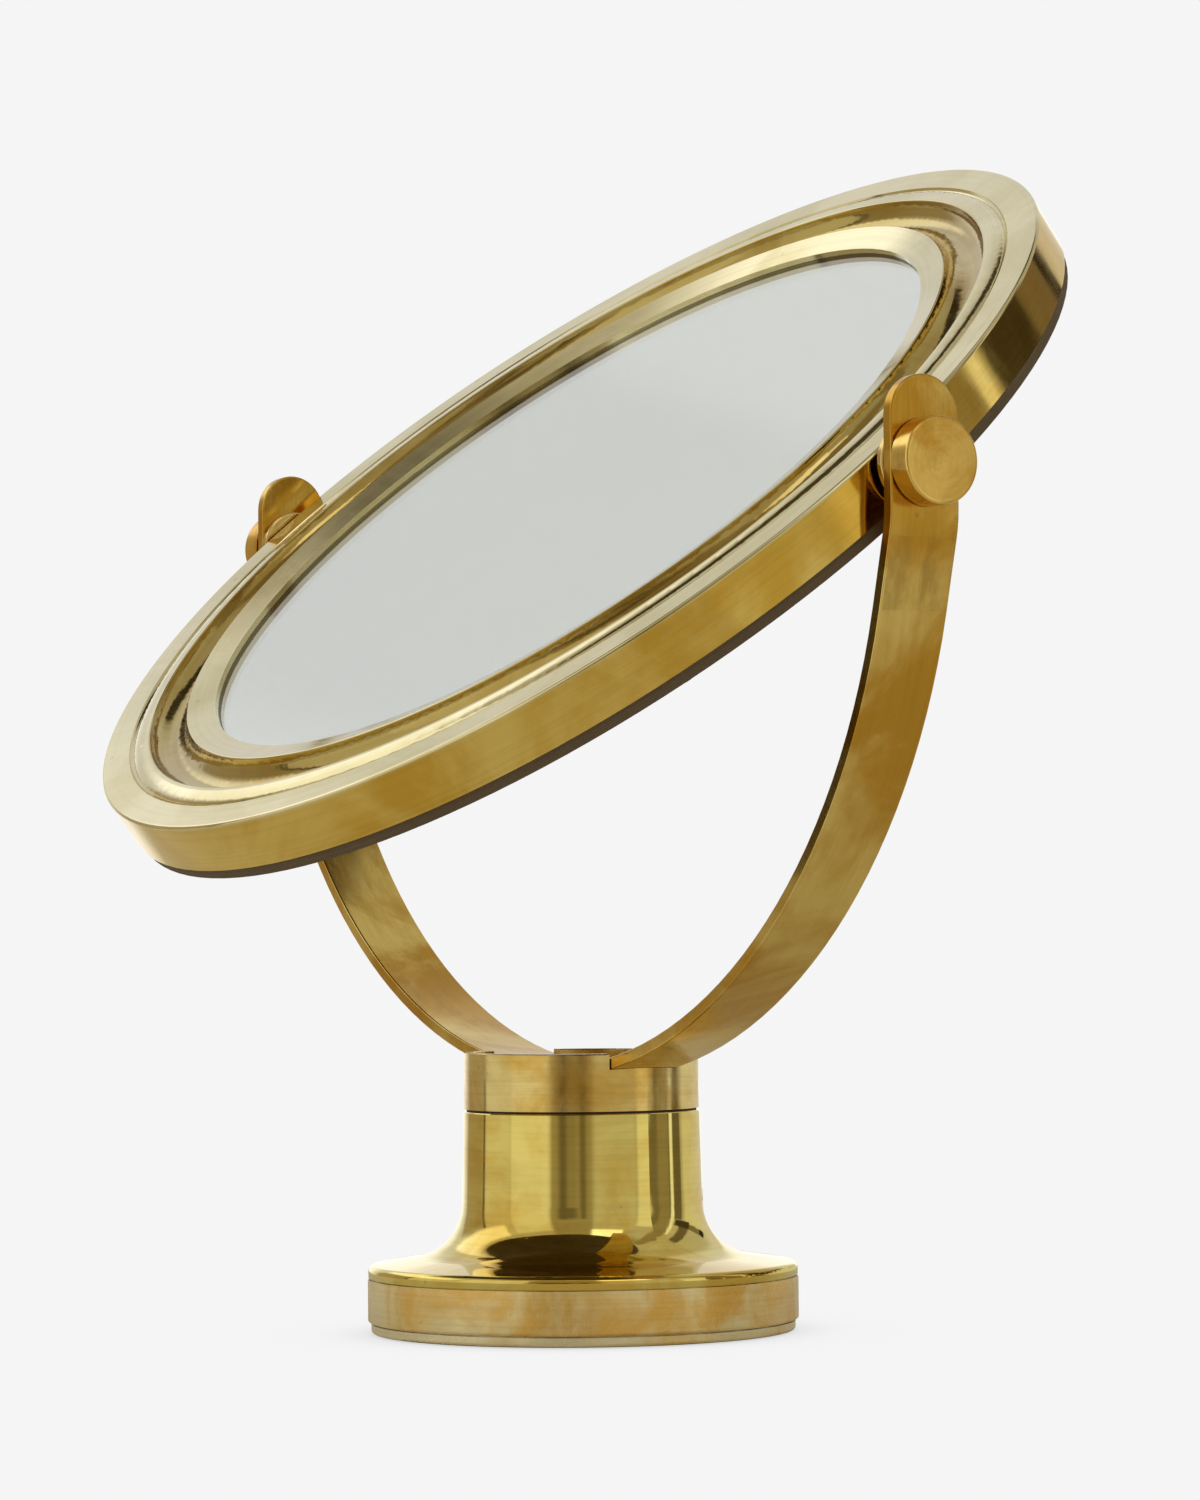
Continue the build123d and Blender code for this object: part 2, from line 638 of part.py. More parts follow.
# The tilt pivot on each side: boss inside the ring, stud, spacer, washer and clamp knob.
for name, side in sides.items():
    with BuildPart() as pivot_boss:
        with BuildSketch(axis_plane(side, boss_inside)):
            with Locations((0, (boss_front + boss_back) / 2)):
                Rectangle(boss_width, boss_front - boss_back)
            Circle(stud_radius + seat_gap, mode=Mode.SUBTRACT)
        extrude(amount=boss_length)
        with Locations(mirror_plane):
            Cylinder(side_inner_radius - seat_gap, rim_depth * 2, mode=Mode.INTERSECT)
    pivot_boss.part.label = f"{name}_pivot_boss"
    export_step(pivot_boss.part, f"parts/{name}_pivot_boss.step")

    with BuildPart() as stud:
        with BuildSketch(axis_plane(side, boss_inside)):
            Circle(stud_radius)
        extrude(amount=knob_inside + knob_bore_depth - drop_in_gap - boss_inside)
        chamfer(stud.edges().filter_by(GeomType.CIRCLE), stud_edge)
    stud.part.label = f"{name}_stud"
    export_step(stud.part, f"parts/{name}_stud.step")

    outward = Axis(origin=pivot_point, direction=(side, 0, 0))
    with BuildPart() as spacer:
        with BuildSketch(axis_plane(side, mirror_radius + seat_gap)):
            Circle(spacer_hub_radius)
        extrude(amount=arm_inside - spacer_flange - mirror_radius - seat_gap)
        with BuildSketch(axis_plane(side, arm_inside - spacer_flange)):
            Circle(spacer_radius)
        extrude(amount=spacer_flange)
        fillet(spacer.edges().filter_by(GeomType.CIRCLE).group_by(SortBy.RADIUS)[-1], spacer_round)
        with BuildSketch(axis_plane(side, mirror_radius)):
            Circle(stud_radius + seat_gap)
        extrude(amount=arm_inside - mirror_radius, mode=Mode.SUBTRACT)
    spacer.part.label = f"{name}_spacer"
    export_step(spacer.part, f"parts/{name}_spacer.step")

    with BuildPart() as pivot_washer:
        with BuildSketch(axis_plane(side, arm_outside)):
            Circle(pivot_washer_radius)
            Circle(stud_radius + running_gap, mode=Mode.SUBTRACT)
        extrude(amount=pivot_washer_thickness)
    pivot_washer.part.label = f"{name}_pivot_washer"
    export_step(pivot_washer.part, f"parts/{name}_pivot_washer.step")

    with BuildPart() as knob:
        with BuildSketch(axis_plane(side, knob_inside)):
            Circle(knob_radius)
        extrude(amount=knob_thickness)
        fillet(knob.edges().filter_by(GeomType.CIRCLE).sort_by(outward)[-1], knob_face_round)
        chamfer(knob.edges().filter_by(GeomType.CIRCLE).sort_by(outward)[0], knob_back_edge)
        with BuildSketch(axis_plane(side, knob_inside)):
            Circle(stud_radius + running_gap)
        extrude(amount=knob_bore_depth, mode=Mode.SUBTRACT)
    knob.part.label = f"{name}_knob"
    export_step(knob.part, f"parts/{name}_knob.step")
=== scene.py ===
from math import atan2, pi, radians, sin

import bpy
from mathutils import Matrix


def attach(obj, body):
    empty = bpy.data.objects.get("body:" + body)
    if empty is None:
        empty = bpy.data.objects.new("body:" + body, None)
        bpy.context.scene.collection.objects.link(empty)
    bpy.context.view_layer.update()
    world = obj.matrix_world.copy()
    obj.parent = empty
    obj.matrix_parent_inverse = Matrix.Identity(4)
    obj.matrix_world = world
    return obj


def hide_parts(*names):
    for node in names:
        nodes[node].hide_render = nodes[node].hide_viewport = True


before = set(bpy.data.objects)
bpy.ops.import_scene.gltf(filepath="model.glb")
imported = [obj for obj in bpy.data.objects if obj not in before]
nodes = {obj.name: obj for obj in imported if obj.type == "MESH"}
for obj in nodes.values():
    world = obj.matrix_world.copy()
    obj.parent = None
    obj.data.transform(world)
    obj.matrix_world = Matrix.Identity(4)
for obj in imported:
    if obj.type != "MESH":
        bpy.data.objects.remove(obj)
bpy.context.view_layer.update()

# The view of the photograph: a long lens a hand's width above the table, from the
# right of the mirror's front, looking very slightly up so that the base is seen level.
film_width = 36.0
focal_length = 117.86
nearest_seen = 0.05
camera_place = (1.49163, -0.98280, 0.14595)
camera_turn = (92.0751, 0.5616, 56.3843)
camera_data = bpy.data.cameras.new("camera")
camera_data.sensor_width = film_width
camera_data.lens = focal_length
camera_data.clip_start = nearest_seen
camera = bpy.data.objects.new("camera", camera_data)
camera.location = camera_place
camera.rotation_euler = [radians(angle) for angle in camera_turn]
bpy.context.scene.collection.objects.link(camera)
bpy.context.scene.camera = camera

# Felt disc under the foot: 1.2 mm dark green wool felt, cut round and glued up into
# the foot. The whole mirror stands on it.
felt_dark = (0.010, 0.028, 0.016)
felt_light = (0.040, 0.095, 0.052)
felt_radius = 0.0700
felt_thickness = 0.0012
felt_edge_round = 0.0004
felt_cut_wander = 0.0012
felt_cut_waves = (23.0, 58.0)
felt_fibre = 2600.0
felt_cloud = 60.0
felt_fuzz_height = 0.0004


def put(tree, socket, value):
    """Joins a node's output to a socket, or sets the socket to a number, point or colour."""
    if isinstance(value, bpy.types.NodeSocket):
        tree.links.new(value, socket)
    elif socket.type == "RGBA":
        socket.default_value = (*value, 1.0)
    else:
        socket.default_value = value


def calculate(tree, operation, *values):
    """A sum on one, two or three values."""
    node = tree.nodes.new("ShaderNodeMath")
    node.operation = operation
    for socket, value in zip(node.inputs, values):
        put(tree, socket, value)
    return node.outputs["Value"]


def spread(tree, value, low, high, to_low=0.0, to_high=1.0):
    """The value's range from low to high, stretched smoothly to another range."""
    node = tree.nodes.new("ShaderNodeMapRange")
    node.interpolation_type = "SMOOTHSTEP"
    for socket, number in zip(node.inputs, (value, low, high, to_low, to_high)):
        put(tree, socket, number)
    return node.outputs["Result"]


def blend(tree, share, first, second, way="MIX"):
    """Two colours mixed by a share from 0 to 1."""
    node = tree.nodes.new("ShaderNodeMix")
    node.data_type = "RGBA"
    node.blend_type = way
    put(tree, node.inputs[0], share)
    put(tree, node.inputs[6], first)
    put(tree, node.inputs[7], second)
    return node.outputs[2]


def noise(tree, vector, scale, detail=3.0, rough=0.55, bent=0.0):
    """Clouds or grain of about 1 / scale metres."""
    node = tree.nodes.new("ShaderNodeTexNoise")
    put(tree, node.inputs["Vector"], vector)
    put(tree, node.inputs["Scale"], scale)
    node.inputs["Detail"].default_value = detail
    node.inputs["Roughness"].default_value = rough
    node.inputs["Distortion"].default_value = bent
    return node.outputs["Fac"]


def relief(tree, height, distance):
    """Bump from a height, with distance in metres."""
    node = tree.nodes.new("ShaderNodeBump")
    node.inputs["Distance"].default_value = distance
    put(tree, node.inputs["Height"], height)
    return node.outputs["Normal"]


def new_finish(name, place=(0.0, 0.0, 0.0), turn=(0.0, 0.0, 0.0)):
    """An empty material: its node tree, its shader, and coordinates about a place and turn."""
    material = bpy.data.materials.new(name)
    material.use_nodes = True
    tree = material.node_tree
    tree.nodes.clear()
    output = tree.nodes.new("ShaderNodeOutputMaterial")
    shader = tree.nodes.new("ShaderNodeBsdfPrincipled")
    tree.links.new(shader.outputs["BSDF"], output.inputs["Surface"])
    coordinates = tree.nodes.new("ShaderNodeTexCoord")
    mapping = tree.nodes.new("ShaderNodeMapping")
    mapping.vector_type = "TEXTURE"
    mapping.inputs["Location"].default_value = place
    mapping.inputs["Rotation"].default_value = turn
    tree.links.new(coordinates.outputs["Object"], mapping.inputs["Vector"])
    return material, tree, shader, mapping.outputs["Vector"]


def dress(node, material):
    """The CAD node keeps its shape and takes this finish."""
    for place in nodes[node].material_slots:
        place.material = material


felt, tree, shader, here = new_finish("green_felt")
fibres = noise(tree, here, felt_fibre, detail=5.0, rough=0.7, bent=1.5)
patches = noise(tree, here, felt_cloud)
fuzz = calculate(tree, "MULTIPLY", fibres, spread(tree, patches, 0.3, 0.7, 0.75, 1.1))
put(tree, shader.inputs["Base Color"], blend(tree, spread(tree, fuzz, 0.25, 0.75), felt_dark, felt_light))
put(tree, shader.inputs["Normal"], relief(tree, fibres, felt_fuzz_height))
shader.inputs["Roughness"].default_value = 1.0
shader.inputs["Sheen Weight"].default_value = 0.4
bpy.ops.object.select_all(action="DESELECT")
bpy.ops.mesh.primitive_cylinder_add(
    vertices=240, radius=felt_radius, depth=felt_thickness, location=(0.0, 0.0, felt_thickness / 2)
)
felt_disc = bpy.context.object
felt_disc.name = felt_disc.data.name = "felt_disc"
bpy.ops.object.transform_apply(location=True, rotation=True, scale=True)
edge = felt_disc.modifiers.new("edge", "BEVEL")
edge.width = felt_edge_round
edge.segments = 4
bpy.ops.object.modifier_apply(modifier="edge")
for point in felt_disc.data.vertices:
    around = atan2(point.co.y, point.co.x)
    waves = 2.0 + sin(felt_cut_waves[0] * around) + sin(felt_cut_waves[1] * around + 1.0)
    cut = 1.0 - felt_cut_wander * waves / 4.0
    point.co.x *= cut
    point.co.y *= cut
bpy.ops.object.shade_smooth_by_angle(angle=radians(40))
felt_disc.data.materials.append(felt)
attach(felt_disc, "base")
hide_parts("felt_pad")

# Foot plate and band: two brass rings turned on the lathe, the lower one a thin plate.
# They are satin, with fine turned lines and clouds of orange tarnish left in the polish.
band_clean = (0.98, 0.86, 0.50)
band_stained = (0.88, 0.56, 0.15)
foot_clean = (0.98, 0.90, 0.62)
foot_stained = (0.88, 0.68, 0.32)
dark_speck = (0.16, 0.09, 0.03)
# Near-black colour painted into corners and seams: painted shade there, with some grime.
shade_and_grime_dark = (0.05, 0.035, 0.02)
shade_and_grime_reach = 0.0012


def new_group(name, inputs, outputs):
    """An empty group of nodes with named sockets."""
    group = bpy.data.node_groups.new(name, "ShaderNodeTree")
    for direction, sockets in (("INPUT", inputs), ("OUTPUT", outputs)):
        for label, kind in sockets:
            group.interface.new_socket(name=label, in_out=direction, socket_type=f"NodeSocket{kind}")
    return group, group.nodes.new("NodeGroupInput").outputs, group.nodes.new("NodeGroupOutput").inputs


def place_group(tree, group, **values):
    """One use of a group with its own values."""
    node = tree.nodes.new("ShaderNodeGroup")
    node.node_tree = group
    for label, value in values.items():
        put(tree, node.inputs[label], value)
    return node.outputs


def from_axis(tree, first, second):
    """The distance from an axis, from the two distances across it."""
    squares = [calculate(tree, "MULTIPLY", across, across) for across in (first, second)]
    return calculate(tree, "SQRT", calculate(tree, "ADD", *squares))


def fine_lines(tree, first, second, along_cos, along_sin, spacing):
    """Lines that change across a cut and hardly at all along it."""
    vector = tree.nodes.new("ShaderNodeCombineXYZ")
    put(tree, vector.inputs["X"], calculate(tree, "DIVIDE", first, spacing))
    put(tree, vector.inputs["Y"], calculate(tree, "DIVIDE", second, spacing))
    put(tree, vector.inputs["Z"], along_cos)
    node = tree.nodes.new("ShaderNodeTexNoise")
    node.noise_dimensions = "4D"
    node.inputs["Scale"].default_value = 1.0
    node.inputs["Detail"].default_value = 4.0
    node.inputs["Roughness"].default_value = 0.62
    put(tree, node.inputs["Vector"], vector.outputs["Vector"])
    put(tree, node.inputs["W"], along_sin)
    return node.outputs["Fac"]


lathe_marks, given, wanted = new_group(
    "lathe_marks",
    [("Vector", "Vector"), ("Spacing", "Float")],
    [("Lines", "Float"), ("Radius", "Float"), ("Depth", "Float")],
)
parts_of = lathe_marks.nodes.new("ShaderNodeSeparateXYZ")
put(lathe_marks, parts_of.inputs["Vector"], given["Vector"])
x, y, z = parts_of.outputs
radius = from_axis(lathe_marks, x, y)
along_cos = calculate(lathe_marks, "DIVIDE", x, radius)
along_sin = calculate(lathe_marks, "DIVIDE", y, radius)
lines = fine_lines(lathe_marks, radius, z, along_cos, along_sin, given["Spacing"])
put(lathe_marks, wanted["Lines"], lines)
put(lathe_marks, wanted["Radius"], radius)
put(lathe_marks, wanted["Depth"], z)

tarnish, given, wanted = new_group(
    "tarnish",
    [("Vector", "Vector"), ("Scale", "Float")],
    [("Cloud", "Float"), ("Spots", "Float"), ("Smear", "Float")],
)
clouds = noise(tarnish, given["Vector"], given["Scale"], detail=5.0, rough=0.6, bent=0.7)
put(tarnish, wanted["Cloud"], clouds)
specks = tarnish.nodes.new("ShaderNodeTexVoronoi")
put(tarnish, specks.inputs["Vector"], given["Vector"])
put(tarnish, specks.inputs["Scale"], calculate(tarnish, "MULTIPLY", given["Scale"], 7.0))
patch_scale = calculate(tarnish, "MULTIPLY", given["Scale"], 1.7)
where = spread(tarnish, noise(tarnish, given["Vector"], patch_scale, detail=2.0), 0.55, 0.66)
dots = spread(tarnish, specks.outputs["Distance"], 0.16, 0.05)
put(tarnish, wanted["Spots"], calculate(tarnish, "MULTIPLY", where, dots))
wiped = tarnish.nodes.new("ShaderNodeMapping")
wiped.inputs["Rotation"].default_value = (0.5, 0.3, 0.9)
wiped.inputs["Scale"].default_value = (1.0, 4.0, 1.6)
put(tarnish, wiped.inputs["Vector"], given["Vector"])
smear_scale = calculate(tarnish, "MULTIPLY", given["Scale"], 2.4)
smears = noise(tarnish, wiped.outputs["Vector"], smear_scale, detail=6.0, rough=0.65)
put(tarnish, wanted["Smear"], smears)


def finish_brass(
    tree, shader, here, marks, clean, stained, cloud, cover, rough, line_depth, line_tone=0.10, shade_and_grime=0.8
):
    """Brass: stains in clouds, dark specks, cut lines in the polish, and painted shade with some grime in
    the corners and seams.
    """
    aged = place_group(tree, tarnish, Vector=here, Scale=cloud)
    stain = spread(tree, aged["Cloud"], cover + 0.13, cover - 0.13, 1.0, 0.0)
    colour = blend(tree, stain, clean, stained)
    shade = spread(tree, marks, 0.3, 0.7, 1.0 - line_tone, 1.0 + line_tone / 2)
    shade = blend(tree, shade, (0.0, 0.0, 0.0), (1.0, 1.0, 1.0))
    colour = blend(tree, 1.0, colour, shade, "MULTIPLY")
    spots = calculate(tree, "MULTIPLY", aged["Spots"], 0.3)
    colour = blend(tree, spots, colour, dark_speck)
    if shade_and_grime:
        # Painted shade: ambient occlusion darkens the colour in corners and seams between parts, standing
        # for shade there as well as for grime.
        corner = tree.nodes.new("ShaderNodeAmbientOcclusion")
        corner.samples = 4
        corner.inputs["Distance"].default_value = shade_and_grime_reach
        shade_and_grime_share = spread(tree, corner.outputs["AO"], 0.5, 0.1, 0.0, shade_and_grime)
        colour = blend(tree, shade_and_grime_share, colour, shade_and_grime_dark)
    put(tree, shader.inputs["Base Color"], colour)
    shader.inputs["Metallic"].default_value = 1.0
    handled = spread(tree, aged["Smear"], 0.35, 0.7, -0.25 * rough, 0.5 * rough)
    uneven = calculate(tree, "ADD", handled, calculate(tree, "MULTIPLY", stain, 0.35 * rough))
    put(tree, shader.inputs["Roughness"], calculate(tree, "ADD", rough, uneven))
    put(tree, shader.inputs["Normal"], relief(tree, marks, line_depth))


def turned_brass(
    name,
    clean,
    stained,
    cloud=18.0,
    cover=0.56,
    rough=0.2,
    spacing=0.0012,
    line_depth=0.000002,
    place=(0.0, 0.0, 0.0),
    turn=(0.0, 0.0, 0.0),
):
    """Brass turned about an axis."""
    material, tree, shader, here = new_finish(name, place, turn)
    marks = place_group(tree, lathe_marks, Vector=here, Spacing=spacing)["Lines"]
    finish_brass(tree, shader, here, marks, clean, stained, cloud, cover, rough, line_depth)
    return material


dress("foot_plate", turned_brass("foot_brass", foot_clean, foot_stained))
dress("base_band", turned_brass("band_brass", band_clean, band_stained, cloud=30.0, cover=0.51, rough=0.18))

# Cast-iron weight inside the band, painted black, with the four steel screws that pull
# the foot up to it. The felt covers them all.
steel_bright = (0.52, 0.52, 0.53)
steel_dull = (0.38, 0.36, 0.34)
iron_black = (0.02, 0.02, 0.022)
iron_worn = (0.05, 0.04, 0.035)
fitting_relief = 0.00003


def plain_metal(name, colour, dull, rough, metallic=1.0, grain=400.0):
    """A turned or cast fitting that nobody polishes."""
    material, tree, shader, here = new_finish(name)
    cloud = noise(tree, here, grain / 6, detail=4.0)
    fine = noise(tree, here, grain)
    put(tree, shader.inputs["Base Color"], blend(tree, spread(tree, cloud, 0.35, 0.7), colour, dull))
    put(tree, shader.inputs["Roughness"], spread(tree, fine, 0.2, 0.8, rough, rough + 0.2))
    put(tree, shader.inputs["Normal"], relief(tree, fine, fitting_relief))
    shader.inputs["Metallic"].default_value = metallic
    return material


steel = plain_metal("plain_steel", steel_bright, steel_dull, rough=0.3)
dress("ballast_weight", plain_metal("black_iron", iron_black, iron_worn, rough=0.55, metallic=0.0))
dress("base_screws", steel)

# Column: one brass turning, a lip and a wide flare running up into the neck. It is
# buffed bright, so the room stands in it as upright streaks.
column_clean = (0.80, 0.67, 0.21)
column_stained = (0.70, 0.48, 0.10)
column_brass = turned_brass(
    "column_brass",
    column_clean,
    column_stained,
    cloud=24.0,
    cover=0.54,
    rough=0.055,
    spacing=0.002,
    line_depth=0.000001,
)
dress("base_column", column_brass)

# Swivel: a bronze bush, a fibre washer, the steel spindle with its dished spring washer
# and two nuts. Only a thin dark line of the washer shows, in the seam under the collar.
bronze_clean = (0.48, 0.30, 0.14)
bronze_dull = (0.34, 0.20, 0.09)
fibre_dark = (0.030, 0.024, 0.020)
fibre_light = (0.055, 0.042, 0.032)
spring_blue = (0.09, 0.09, 0.10)
spring_brown = (0.16, 0.13, 0.11)
dress("swivel_bush", plain_metal("bronze", bronze_clean, bronze_dull, rough=0.3))
fibre = plain_metal("dark_fibre", fibre_dark, fibre_light, rough=0.6, metallic=0.0, grain=900.0)
dress("swivel_washer", fibre)
dress("swivel_spindle", steel)
dress("spindle_nuts", steel)
dress("spring_washer", plain_metal("spring_steel", spring_blue, spring_brown, rough=0.35))

# Collar: a shallow turned brass cup, slotted to bed the yoke. It turns on the neck.
collar_clean = (0.80, 0.66, 0.29)
collar_stained = (0.66, 0.42, 0.09)
collar_brass = turned_brass("collar_brass", collar_clean, collar_stained, cloud=26.0, cover=0.51, rough=0.13)
dress("swivel_collar", collar_brass)

# Yoke: one flat brass bar with round ends, bent to a half circle and brushed along its
# length. Handling and old polish have left orange and brown stains on it.
yoke_middle = (0.0, 0.0, 0.300)
yoke_clean = (0.82, 0.61, 0.19)
yoke_stained = (0.58, 0.32, 0.04)
brush_changes = 3.0
brush_marks, given, wanted = new_group(
    "brush_marks", [("Vector", "Vector"), ("Spacing", "Float")], [("Lines", "Float")]
)
parts_of = brush_marks.nodes.new("ShaderNodeSeparateXYZ")
put(brush_marks, parts_of.inputs["Vector"], given["Vector"])
x, y, z = parts_of.outputs
radius = from_axis(brush_marks, x, z)
along_cos = calculate(brush_marks, "DIVIDE", x, radius)
along_cos = calculate(brush_marks, "MULTIPLY", along_cos, brush_changes)
along_sin = calculate(brush_marks, "DIVIDE", z, radius)
along_sin = calculate(brush_marks, "MULTIPLY", along_sin, brush_changes)
lines = fine_lines(brush_marks, y, radius, along_cos, along_sin, given["Spacing"])
put(brush_marks, wanted["Lines"], lines)
material, tree, shader, here = new_finish("yoke_brass", yoke_middle)
marks = place_group(tree, brush_marks, Vector=here, Spacing=0.0012)["Lines"]
finish_brass(
    tree,
    shader,
    here,
    marks,
    yoke_clean,
    yoke_stained,
    cloud=17.0,
    cover=0.49,
    rough=0.15,
    line_depth=0.0000015,
    line_tone=0.08,
    shade_and_grime=0.0,
)
dress("yoke_strip", material)

# Yoke screws: two slotted countersunk brass screws, driven flush into the bar from
# above. They hold it down in the collar.
yoke_screw_reach = 0.022
yoke_inside = 0.2039
head_radius = 0.0046
head_depth = 0.0024
shank_radius = 0.0025
screw_length = 0.011
head_edge_round = 0.0002
dome_round = 0.0013
point_share = 0.8
slot_width = 0.0009
slot_depth = 0.0011
head_clearance = 0.00005


def choose_faces(mesh, wanted):
    """Selects the faces of the mesh being edited for which wanted(middle, normal) is true."""
    bpy.ops.object.mode_set(mode="OBJECT")
    for face in mesh.polygons:
        face.select = wanted(face.center, face.normal)
    for edge in mesh.edges:
        edge.select = False
    bpy.ops.object.mode_set(mode="EDIT")


def slotted(name, top, domed):
    """A slotted screw with its head's top at the origin, pointing down."""
    bpy.ops.object.select_all(action="DESELECT")
    middle = (0.0, 0.0, -head_depth / 2)
    bpy.ops.mesh.primitive_cylinder_add(vertices=40, radius=top, depth=head_depth, location=middle)
    screw = bpy.context.object
    screw.name = name
    bpy.ops.object.transform_apply(location=True, rotation=True, scale=True)
    bpy.ops.object.mode_set(mode="EDIT")
    bpy.ops.mesh.select_mode(type="FACE")
    choose_faces(screw.data, lambda middle, normal: normal.z < -0.9)
    if not domed:
        bpy.ops.transform.resize(value=(shank_radius / top, shank_radius / top, 1.0))
    else:
        bpy.ops.mesh.inset(thickness=top - shank_radius)
    bpy.ops.mesh.extrude_region_move(TRANSFORM_OT_translate={"value": (0.0, 0.0, head_depth - screw_length)})
    bpy.ops.transform.resize(value=(point_share, point_share, 1.0))
    choose_faces(screw.data, lambda middle, normal: normal.z > 0.9)
    offset, segments = (dome_round, 6) if domed else (head_edge_round, 2)
    bpy.ops.mesh.bevel(offset=offset, segments=segments, profile=0.55, affect="EDGES")
    bpy.ops.object.mode_set(mode="OBJECT")
    bpy.ops.mesh.primitive_cube_add(size=1.0, location=(0.0, 0.0, 0.0))
    cutter = bpy.context.object
    cutter.scale = (slot_width, top * 3, slot_depth * 2)
    bpy.ops.object.select_all(action="DESELECT")
    bpy.context.view_layer.objects.active = screw
    screw.select_set(True)
    cut = screw.modifiers.new("slot", "BOOLEAN")
    cut.operation = "DIFFERENCE"
    cut.object = cutter
    bpy.ops.object.modifier_apply(modifier="slot")
    bpy.data.objects.remove(cutter)
    bpy.ops.object.shade_smooth_by_angle(angle=radians(35))
    return screw


def drive(pattern, name, place, material, body, node):
    """A copy of a screw, turned and moved into its hole."""
    screw = pattern.copy()
    screw.data = pattern.data.copy()
    screw.name = name
    screw.data.name = name
    bpy.context.scene.collection.objects.link(screw)
    screw.data.transform(place)
    screw.data.materials.clear()
    screw.data.materials.append(material)
    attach(screw, body)
    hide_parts(node)


screw_clean = (0.74, 0.55, 0.24)
screw_dull = (0.60, 0.40, 0.15)
screw_brass = plain_metal("screw_brass", screw_clean, screw_dull, rough=0.24, grain=700.0)
countersunk = slotted("countersunk_pattern", head_radius, False)
for name, side, slot_turn in (("yoke_screw_right", 1, 0.5), ("yoke_screw_left", -1, 1.2)):
    lean = side * yoke_screw_reach / yoke_inside
    place = (
        Matrix.Translation(yoke_middle)
        @ Matrix.Rotation(-lean, 4, "Y")
        @ Matrix.Translation((0.0, 0.0, -yoke_inside - head_clearance))
        @ Matrix.Rotation(slot_turn, 4, "Z")
    )
    drive(countersunk, name, place, screw_brass, "yoke", "yoke_screws")
bpy.data.objects.remove(countersunk)

# Ring: a turned brass casting. From the outside in, a plain side wall, a flat, a groove,
# a bead, a deep channel and a narrow coned ring round the glass.
pivot = (0.0, 0.0, 0.2982)
mirror_turn = (radians(38.7), 0.0, 0.0)
front_height = 0.0112
ring_radius = 0.2
# Painted light on the ring: the front faces take a paler colour as a painted highlight, the side wall a
# deeper yellow as a painted reflection of a warm floor, and the channel a darker brown as painted shade.
painted_reflection_fade = (0.0008, 0.0016)
painted_reflection_skin = (0.0015, 0.0005)
front_painted_highlight = (0.79, 0.70, 0.42)
front_painted_highlight_stained = (0.66, 0.57, 0.29)
side_painted_reflection = (0.82, 0.61, 0.17)
side_painted_reflection_stained = (0.66, 0.41, 0.06)
channel_painted_shade = (0.54, 0.42, 0.15)
channel_painted_shade_stained = (0.44, 0.30, 0.08)
channel_inside = 0.1618
channel_outside = 0.1782
painted_shade_fade = 0.0004
material, tree, shader, here = new_finish("ring_brass", pivot, mirror_turn)
turned = place_group(tree, lathe_marks, Vector=here, Spacing=0.0016)
painted_reflection_share = calculate(
    tree,
    "MULTIPLY",
    spread(tree, turned["Depth"], front_height - painted_reflection_fade[0], front_height - painted_reflection_fade[1]),
    spread(tree, turned["Radius"], ring_radius - painted_reflection_skin[0], ring_radius - painted_reflection_skin[1]),
)
painted_shade_share = calculate(
    tree,
    "MULTIPLY",
    spread(tree, turned["Radius"], channel_inside - painted_shade_fade, channel_inside + painted_shade_fade),
    spread(tree, turned["Radius"], channel_outside + 1.5 * painted_shade_fade, channel_outside - painted_shade_fade),
)
# The painted highlight, painted reflection and painted shade colours are laid on by these depth and radius
# masks.
clean = blend(tree, painted_shade_share, blend(tree, painted_reflection_share, front_painted_highlight, side_painted_reflection), channel_painted_shade)
stained = blend(tree, painted_shade_share, blend(tree, painted_reflection_share, front_painted_highlight_stained, side_painted_reflection_stained), channel_painted_shade_stained)
finish_brass(
    tree,
    shader,
    here,
    turned["Lines"],
    clean,
    stained,
    cloud=14.0,
    cover=0.53,
    rough=0.085,
    line_depth=0.0000007,
    line_tone=0.08,
    shade_and_grime=0.0,
)
dress("mirror_rim", material)

# Glass: a 4 mm plate laid in the ring from behind, silvered on its back. The silver is
# a film of its own here, so that the glass keeps its thickness and its grey edge.
glass_back = 0.0033
silver_gap = 0.00003
silver_radius = 0.1555
glass_tint = (0.93, 0.96, 0.94)
silver_bright = (0.86, 0.87, 0.84)
silver_aged = (0.88, 0.88, 0.84)
glass, tree, shader, here = new_finish("plate_glass", pivot, mirror_turn)
dust = noise(tree, here, 90.0, detail=6.0, rough=0.7)
put(tree, shader.inputs["Base Color"], glass_tint)
put(tree, shader.inputs["Roughness"], spread(tree, dust, 0.5, 0.8, 0.0, 0.03))
shader.inputs["Transmission Weight"].default_value = 1.0
shader.inputs["IOR"].default_value = 1.5
dress("mirror_glass", glass)
silver, tree, shader, here = new_finish("silver", pivot, mirror_turn)
age = noise(tree, here, 12.0, detail=5.0, rough=0.6)
put(tree, shader.inputs["Base Color"], blend(tree, spread(tree, age, 0.3, 0.7), silver_bright, silver_aged))
shader.inputs["Metallic"].default_value = 1.0
shader.inputs["Roughness"].default_value = 0.012
bpy.ops.object.select_all(action="DESELECT")
bpy.ops.mesh.primitive_circle_add(vertices=160, radius=silver_radius, fill_type="NGON")
film = bpy.context.object
film.name = "silver_film"
bpy.ops.object.mode_set(mode="EDIT")
bpy.ops.mesh.select_all(action="SELECT")
bpy.ops.mesh.extrude_region_move(TRANSFORM_OT_translate={"value": (0.0, 0.0, -silver_gap / 2)})
bpy.ops.mesh.select_all(action="SELECT")
bpy.ops.mesh.normals_make_consistent(inside=False)
